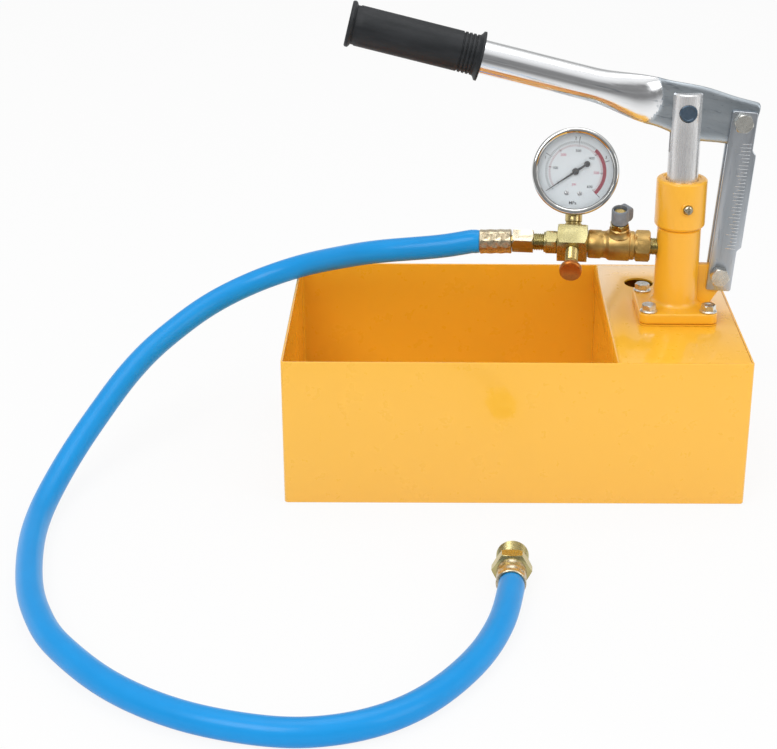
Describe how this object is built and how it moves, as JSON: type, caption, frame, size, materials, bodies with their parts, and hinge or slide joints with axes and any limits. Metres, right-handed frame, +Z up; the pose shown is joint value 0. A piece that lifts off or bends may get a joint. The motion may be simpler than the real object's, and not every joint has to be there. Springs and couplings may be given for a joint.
{
  "type": "hydrostatic test pump",
  "caption": "Hand-lever hydrostatic test pump: open yellow steel tank, plunger pump with link and lever, ball valve, pressure gauge, release screw and blue hose.",
  "frame": {"origin": "centre of the tank's underside", "axes": "+X to the pump's end of the tank, +Y to the back, away from the release screw, +Z up"},
  "size_m": [0.5292, 0.5228, 0.3503],
  "materials": {
    "paint": "gloss",
    "zinc": "satin",
    "steel": "polished",
    "dark_steel": "satin",
    "stainless": "satin",
    "chrome": "polished",
    "brass": "satin",
    "copper": "satin",
    "dial": "matt",
    "window": "polished",
    "black_paint": "satin",
    "grey": "satin",
    "hose_blue": "gloss",
    "rubber": "matt",
    "seal": "matt",
    "gasket": "matt"
  },
  "bodies": {
    "base": {"tank_shell": "paint", "deck_plate": "paint", "partition_plate": "paint", "base_gasket": "gasket", "pump_body": "paint", "gland_cap": "paint", "gland_side_screw": "brass", "gland_seal": "seal", "flange_bolt_1": "zinc", "flange_bolt_2": "zinc", "flange_bolt_3": "zinc", "flange_bolt_4": "zinc", "flange_nut_1": "zinc", "flange_nut_2": "zinc", "flange_nut_3": "zinc", "flange_nut_4": "zinc", "suction_valve_body": "brass", "suction_tube": "stainless", "suction_strainer": "stainless", "outlet_nipple": "brass", "valve_body": "brass", "valve_end_cap": "brass", "valve_seat_inlet": "seal", "valve_seat_outlet": "seal", "valve_gland_nut": "brass", "tee_block": "brass", "gauge_socket": "brass", "gauge_case": "stainless", "gauge_bezel": "chrome", "gauge_window": "window", "gauge_dial": "dial", "gauge_bourdon": "brass", "hose_adapter": "brass", "hose_tail": "brass", "hose_ferrule": "brass", "hose": "hose_blue", "far_ferrule": "brass", "far_fitting": "brass"},
    "link": {"link_channel": "zinc", "link_foot_bolt": "zinc", "link_foot_nut": "zinc", "link_top_bolt": "zinc", "link_top_nut": "zinc"},
    "lever": {"lever_bar": "zinc", "grip": "rubber"},
    "plunger": {"plunger_rod": "steel", "lever_pin": "dark_steel"},
    "valve_core": {"valve_ball": "chrome", "valve_stem": "brass", "valve_handle": "grey", "valve_handle_nut": "brass"},
    "release_screw": {"release_stem": "brass"},
    "release_wheel": {"release_knob": "copper"},
    "pointer": {"gauge_pointer": "black_paint"},
    "inlet_ball": {"suction_ball": "stainless"},
    "outlet_ball": {"discharge_ball": "stainless"},
    "swivel_nut": {"hose_nut": "brass"}
  },
  "joints": [
    {"name": "link_rock", "type": "hinge", "parent": "base", "child": "link", "pos_m": [0.1559, -0.003, 0.1459], "axis": [0, 1, 0], "range_deg": [-1, 1.4]},
    {"name": "lever_swing", "type": "hinge", "parent": "link", "child": "lever", "pos_m": [0.1652, -0.003, 0.2652], "axis": [0, 1, 0], "range_deg": [-30, 20]},
    {"name": "plunger_stroke", "type": "slide", "parent": "base", "child": "plunger", "axis": [0, 0, 1], "range_m": [-0.0222, 0.0148]},
    {"name": "valve_turn", "type": "hinge", "parent": "base", "child": "valve_core", "pos_m": [0.07995, 0.00168, 0.1658], "axis": [-0.0271, -0.2574, 0.9659], "range_deg": [-45, 45]},
    {"name": "release_travel", "type": "slide", "parent": "base", "child": "release_screw", "axis": [-0.1029, -0.9794, -0.1736], "range_m": [0, 0.003]},
    {"name": "release_turn", "type": "hinge", "parent": "release_screw", "child": "release_wheel", "pos_m": [0.04071, -0.03776, 0.15816], "axis": [-0.1029, -0.9794, -0.1736], "range_deg": [0, 745]},
    {"name": "pointer_sweep", "type": "hinge", "parent": "base", "child": "pointer", "pos_m": [0.04716, 0.02363, 0.21636], "axis": [0.0982, 0.9345, -0.342], "range_deg": [0, 260], "stiffness_Nm_per_rad": 0.0004},
    {"name": "inlet_ball_lift", "type": "slide", "parent": "base", "child": "inlet_ball", "axis": [0, 0, 1], "range_m": [0, 0.003]},
    {"name": "outlet_ball_lift", "type": "slide", "parent": "base", "child": "outlet_ball", "axis": [-0.9945, 0.1045, 0], "range_m": [0, 0.0015]},
    {"name": "hose_nut_turn", "type": "hinge", "parent": "base", "child": "swivel_nut", "pos_m": [0.0156, 0.00845, 0.1658], "axis": [-0.9945, 0.1045, 0], "continuous": true}
  ],
  "couplings": [
    {"joint": "plunger_stroke", "follows": "lever_swing", "m_per_rad": 0.0415},
    {"joint": "link_rock", "follows": "lever_swing", "ratio": -0.04},
    {"joint": "release_turn", "follows": "release_travel", "rad_per_m": 4188.8}
  ]
}
